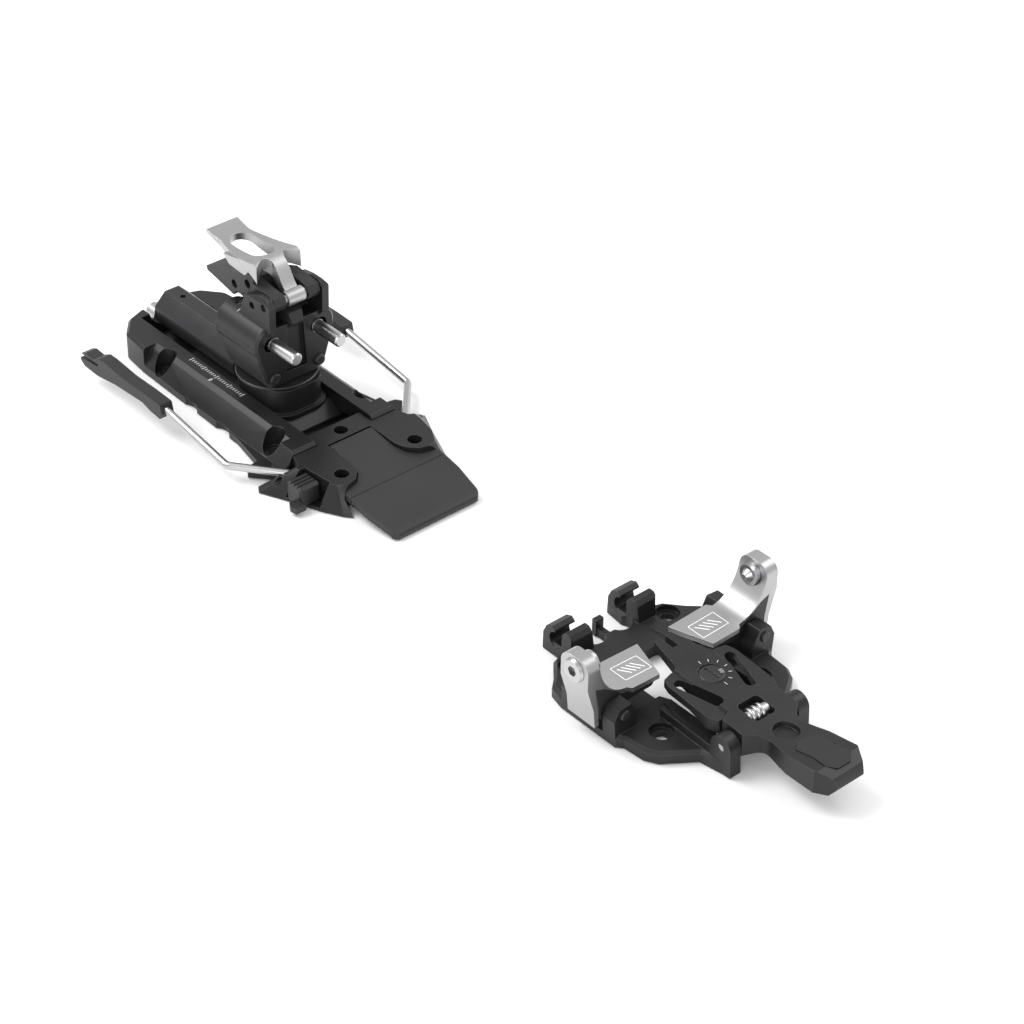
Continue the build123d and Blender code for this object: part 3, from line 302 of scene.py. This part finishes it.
# %% A recipe for repeated pieces
class Recipe:
    """A Geometry Nodes tree with named sizes."""

    def __init__(self, name, **sizes):
        self.tree = bpy.data.node_groups.new(name, "GeometryNodeTree")
        self.tree.interface.new_socket("Geometry", in_out="OUTPUT", socket_type="NodeSocketGeometry")
        kinds = {int: "NodeSocketInt", float: "NodeSocketFloat", tuple: "NodeSocketVector"}
        self.sizes = {}
        for label, value in sizes.items():
            socket = self.tree.interface.new_socket(label, in_out="INPUT", socket_type=kinds[type(value)])
            self.sizes[socket.identifier] = value
        self.inputs = self.tree.nodes.new("NodeGroupInput")
        self.output = self.tree.nodes.new("NodeGroupOutput")

    def size(self, label):
        return self.inputs.outputs[label]

    def add(self, kind, settings=None, values=None):
        made = self.tree.nodes.new(kind)
        for key, value in (settings or {}).items():
            setattr(made, key, value)
        for key, value in (values or {}).items():
            if isinstance(value, bpy.types.NodeSocket):
                self.tree.links.new(value, made.inputs[key])
            else:
                made.inputs[key].default_value = value
        return made.outputs[0]

    def grow(self, name, shape, finish, body, place, smooth=False):
        whole = self.add("GeometryNodeRealizeInstances", values={"Geometry": shape})
        painted = self.add("GeometryNodeSetMaterial", values={"Geometry": whole, "Material": finish})
        self.tree.links.new(painted, self.output.inputs[0])
        seed = bpy.data.objects.new(name + " seed", bpy.data.meshes.new(name + " seed"))
        bpy.context.scene.collection.objects.link(seed)
        growth = seed.modifiers.new("recipe", "NODES")
        growth.node_group = self.tree
        for identifier, value in self.sizes.items():
            growth[identifier] = value
        bpy.context.view_layer.update()
        graph = bpy.context.evaluated_depsgraph_get()
        mesh = bpy.data.meshes.new_from_object(seed.evaluated_get(graph), depsgraph=graph)
        bpy.data.objects.remove(seed)
        mesh.name = name
        mesh.transform(place)
        for face in mesh.polygons:
            face.use_smooth = smooth
        piece = bpy.data.objects.new(name.replace(" ", "_"), mesh)
        bpy.context.scene.collection.objects.link(piece)
        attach(piece, body)
        print(name, len(mesh.polygons), "faces")
        return piece


def at(x, y, z, pitch=0.0, roll=0.0, yaw=0.0):
    """Place in millimetres and degrees: turned about Z, then about Y (pitch), then about X (roll)."""
    turn = Matrix.Rotation(math.radians(yaw), 4, "Z") @ Matrix.Rotation(math.radians(pitch), 4, "Y")
    return Matrix.Translation((x * MM, y * MM, z * MM)) @ turn @ Matrix.Rotation(math.radians(roll), 4, "X")


HEEL = -191.5  # front end of the heel unit's housing
TOE = 2.0  # line through the toe unit's two boot pins
LEVER_AXLE = TOE + 43.6
DIAL = TOE + 22
SCALE_FACE = 12.5  # top of the housing's rails
MARK = 0.06  # thickness of every printed or engraved bar

# %% [markdown]
# The printed scale on the housing's rail shows where the tower stands for the boot's length. A line of
# points carries one thin bar each, and the first bar of each group is drawn longer. A short second scale
# is on the tower, and a double line beside each end of the lever's axle.


# %% Printed scales
def scale_marks(name, count, pitch, bar, every, body, place, stretch):
    """A row of bars along X; the first of every few is stretched crosswise."""
    row = Recipe(
        name, Count=count, Pitch=(pitch * MM, 0.0, 0.0), Bar=tuple(v * MM for v in bar), Every=every
    )
    spacing = {"Count": row.size("Count"), "Offset": row.size("Pitch")}
    points = row.add("GeometryNodeMeshLine", {"mode": "OFFSET"}, spacing)
    stroke = row.add("GeometryNodeMeshCube", values={"Size": row.size("Bar")})
    index = row.add("GeometryNodeInputIndex")
    rest = row.add("ShaderNodeMath", {"operation": "MODULO"}, {0: index, 1: row.size("Every")})
    first = row.add("FunctionNodeCompare", {"operation": "LESS_THAN"}, {0: rest, 1: 0.5})
    lengths = {"Switch": first, "False": (1, 1, 1), "True": (1, stretch, 1)}
    grown = row.add("GeometryNodeSwitch", {"input_type": "VECTOR"}, lengths)
    bars = row.add(
        "GeometryNodeInstanceOnPoints", values={"Points": points, "Instance": stroke, "Scale": grown}
    )
    return row.grow(name, bars, white_ink, body, place)


scale_marks("length scale", 25, 1.5, (0.35, 1.5, MARK), 6, "base", at(HEEL - 83, -17.0, SCALE_FACE), 1.7)
scale_marks("zero mark", 2, 0.6, (0.36, 2.0, MARK), 1, "base", at(HEEL - 65.3, -20.2, SCALE_FACE), 1.0)
on_barrel = at(HEEL - 50, -13.8, 51.83, roll=16.8)
scale_marks("barrel marks", 5, 1.6, (0.3, 1.5, MARK), 2, "tower", on_barrel, 1.8)
for side, y in (("right", -10.6), ("left", 10.6)):
    beside = at(LEVER_AXLE, y, 16.85, pitch=4)
    scale_marks("axle line " + side, 2, 0.4, (0.3, 4.6, MARK), 1, "lever", beside, 1.0)

# %% [markdown]
# Round the hardness dial the marks fan out, and the head of the length screw is knurled. Both are one
# arc of points with a bar on each, turned to look outwards. The knurl's arc stops one bar short of a
# full turn, or its first and last bar would lie in one place.


# %% Fans and knurls
def ring(name, count, radius, bar, body, place, finish, sweep):
    """Bars on an arc of so many degrees, each with its length along the radius."""
    fan = Recipe(
        name, Count=count, Radius=radius * MM, Bar=tuple(v * MM for v in bar), Sweep=math.radians(sweep)
    )
    bend = {"Resolution": fan.size("Count"), "Radius": fan.size("Radius"), "Sweep Angle": fan.size("Sweep")}
    arc = fan.add("GeometryNodeCurveArc", {"mode": "RADIUS"}, bend)
    points = fan.add("GeometryNodeCurveToPoints", {"mode": "EVALUATED"}, {"Curve": arc})
    outwards = fan.add("GeometryNodeInputPosition")
    facing = fan.add("FunctionNodeAlignRotationToVector", {"axis": "X"}, {"Vector": outwards})
    stroke = fan.add("GeometryNodeMeshCube", values={"Size": fan.size("Bar")})
    bars = fan.add(
        "GeometryNodeInstanceOnPoints", values={"Points": points, "Instance": stroke, "Rotation": facing}
    )
    return fan.grow(name, bars, finish, body, place)


round_dial = at(DIAL, 0, 18.42, pitch=4.7, yaw=-25)
on_dial = at(DIAL, 0, 18.53, yaw=60)
screw_head = at(HEEL - 133.4, 0, 4.5, pitch=90)
ring("dial marks", 9, 6.9, (1.4, 0.22, MARK), "lever", round_dial, white_ink, 230.0)
ring("dial pointer", 3, 3.9, (1.6, 0.5, 0.1), "dial", on_dial, silver_aluminium, 24.0)
ring("screw knurl", 29, 4.0, (0.5, 0.42, 5.0), "lead_screw", screw_head, steel, 347.6)

# %% [markdown]
# In the lever's window sits the bright coil that locks the lever. A spiral curve with a round section
# is how a spring is wound, so the recipe gives it turns, radius, length and wire as separate sizes.


# %% Coil springs
TURN_STEPS = 28
WIRE_STEPS = 10


def coil(name, turns, radius, length, wire, body, place):
    """A closed helix along Z; wire is half the wire's thickness."""
    wound = Recipe(name, Turns=turns, Radius=radius * MM, Length=length * MM, Wire=wire * MM)
    path = wound.add(
        "GeometryNodeCurveSpiral",
        values={
            "Resolution": TURN_STEPS, "Rotations": wound.size("Turns"), "Height": wound.size("Length"),
            "Start Radius": wound.size("Radius"), "End Radius": wound.size("Radius"),
        },
    )
    thickness = {"Resolution": WIRE_STEPS, "Radius": wound.size("Wire")}
    section = wound.add("GeometryNodeCurvePrimitiveCircle", {"mode": "RADIUS"}, thickness)
    tube = wound.add(
        "GeometryNodeCurveToMesh", values={"Curve": path, "Profile Curve": section, "Fill Caps": True}
    )
    return wound.grow(name, tube, steel, body, place, smooth=True)


coil("lever lock coil", 3.0, 2.9, 7.2, 0.85, "lever", at(TOE + 45, 3.6, 13.9, roll=90))

# %% [markdown]
# The wings' plates carry a plain engraved frame. Its strokes are thin bars laid on the plate's slope,
# joined to one mesh; a number or a name would not belong to a shared part.


# %% Engraved frames
engraving = Finish("engraved matt strokes")
dust = engraving.noise(3000, 2)
engraved = engraving.set(
    Base_Color=engraving.mix(dust, grey(0.78), grey(0.92)), Roughness=dust * 0.2 + 0.6, Metallic=0.0
)


def strokes(name, bars, body, place):
    """Thin bars given as (x, y, length, width, turn in degrees), in millimetres, joined to one mesh."""
    work = bmesh.new()
    for x, y, length, width, turn in bars:
        spot = at(x, y, 0, yaw=turn) @ Matrix.Diagonal((length * MM, width * MM, MARK * MM, 1))
        bmesh.ops.create_cube(work, size=1.0, matrix=spot)
    mesh = bpy.data.meshes.new(name)
    work.to_mesh(mesh)
    work.free()
    mesh.transform(place)
    mesh.materials.append(engraved)
    piece = bpy.data.objects.new(name.replace(" ", "_"), mesh)
    bpy.context.scene.collection.objects.link(piece)
    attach(piece, body)
    print(name, len(mesh.polygons), "faces")
    return piece


FRAME_X, FRAME_Y, FRAME_LINE = 8.4, 12.8, 0.3
frame_bars = [(0, y, FRAME_X, FRAME_LINE, 0) for y in (6.4, -6.4)]
frame_bars += [(x, 0, FRAME_Y, FRAME_LINE, 90) for x in (4.2, -4.2)]
frame_bars += [(0, k * 2.1, 5.6, 0.45, 35) for k in (-1.5, -0.5, 0.5, 1.5)]
strokes("left plate frame", frame_bars, "wing_left", at(TOE, 19.5, 17.57, roll=2.34))
strokes("right plate frame", frame_bars, "wing_right", at(TOE, -19.5, 17.57, roll=-2.34))

# %% [markdown]
# The studio is a pale floor under three large soft lights: one high on the left for the long
# highlights, one near the camera to open the shadows, and one behind on the right for the upper edges.
# A long lens from far off keeps the two units in nearly the same proportion. Lengths here are in metres.


# %% Floor and lights
FLOOR_HALF = 30
FLOOR_GAP = 0.0005
BETWEEN_UNITS = Vector((-0.1, 0, 0))
AIR_GLOW = 0.75


def floor():
    corners = [(-FLOOR_HALF, -FLOOR_HALF, 0), (FLOOR_HALF, -FLOOR_HALF, 0)]
    corners += [(FLOOR_HALF, FLOOR_HALF, 0), (-FLOOR_HALF, FLOOR_HALF, 0)]
    plate = bpy.data.meshes.new("floor")
    plate.from_pydata(corners, [], [(0, 1, 2, 3)])
    ground = bpy.data.objects.new("floor", plate)
    ground.location.z = cad_low.z - FLOOR_GAP
    bpy.context.scene.collection.objects.link(ground)
    paper = Finish("pale paper")
    plate.materials.append(paper.set(Base_Color=(0.9, 0.9, 0.9, 1), Roughness=0.9))


def softbox(name, place, size, power):
    lamp = bpy.data.lights.new(name, "AREA")
    lamp.shape, lamp.size, lamp.energy = "SQUARE", size, power
    holder = bpy.data.objects.new(name, lamp)
    holder.location = place
    holder.rotation_euler = (BETWEEN_UNITS - Vector(place)).to_track_quat("-Z", "Y").to_euler()
    bpy.context.scene.collection.objects.link(holder)


floor()
softbox("key", (-1.0, -0.7, 1.5), 1.1, 26)
softbox("fill", (1.1, -1.2, 0.9), 1.0, 9)
softbox("rim", (0.1, 1.5, 1.2), 1.2, 16)
world = bpy.data.worlds.new("studio air")
world.use_nodes = True
air = world.node_tree.nodes["Background"]
air.inputs["Color"].default_value = (1, 1, 1, 1)
air.inputs["Strength"].default_value = AIR_GLOW
bpy.context.scene.world = world
bpy.context.scene.view_settings.view_transform = "Standard"
print("lights", len(bpy.data.lights))

# %% Camera
STANDPOINT = (0.57638, -0.58043, 0.6693)
LENS, SENSOR = 99.97, 36  # millimetres
turn, rise, roll = math.radians(48.805), math.radians(36.002), math.radians(0.675)
back = Vector((math.sin(turn) * math.cos(rise), -math.cos(turn) * math.cos(rise), math.sin(rise)))
level = Vector((0, 0, 1)).cross(back).normalized()
across = level * math.cos(roll) + back.cross(level) * math.sin(roll)
eye = bpy.data.cameras.new("camera")
eye.lens, eye.sensor_width = LENS, SENSOR
camera = bpy.data.objects.new("camera", eye)
facing = Matrix((across, back.cross(across), back)).transposed().to_4x4()
camera.matrix_world = Matrix.Translation(STANDPOINT) @ facing
eye.clip_start, eye.clip_end = 0.05, 60
bpy.context.scene.collection.objects.link(camera)
bpy.context.scene.camera = camera
print("camera", [round(v, 3) for v in STANDPOINT], "lens", LENS)
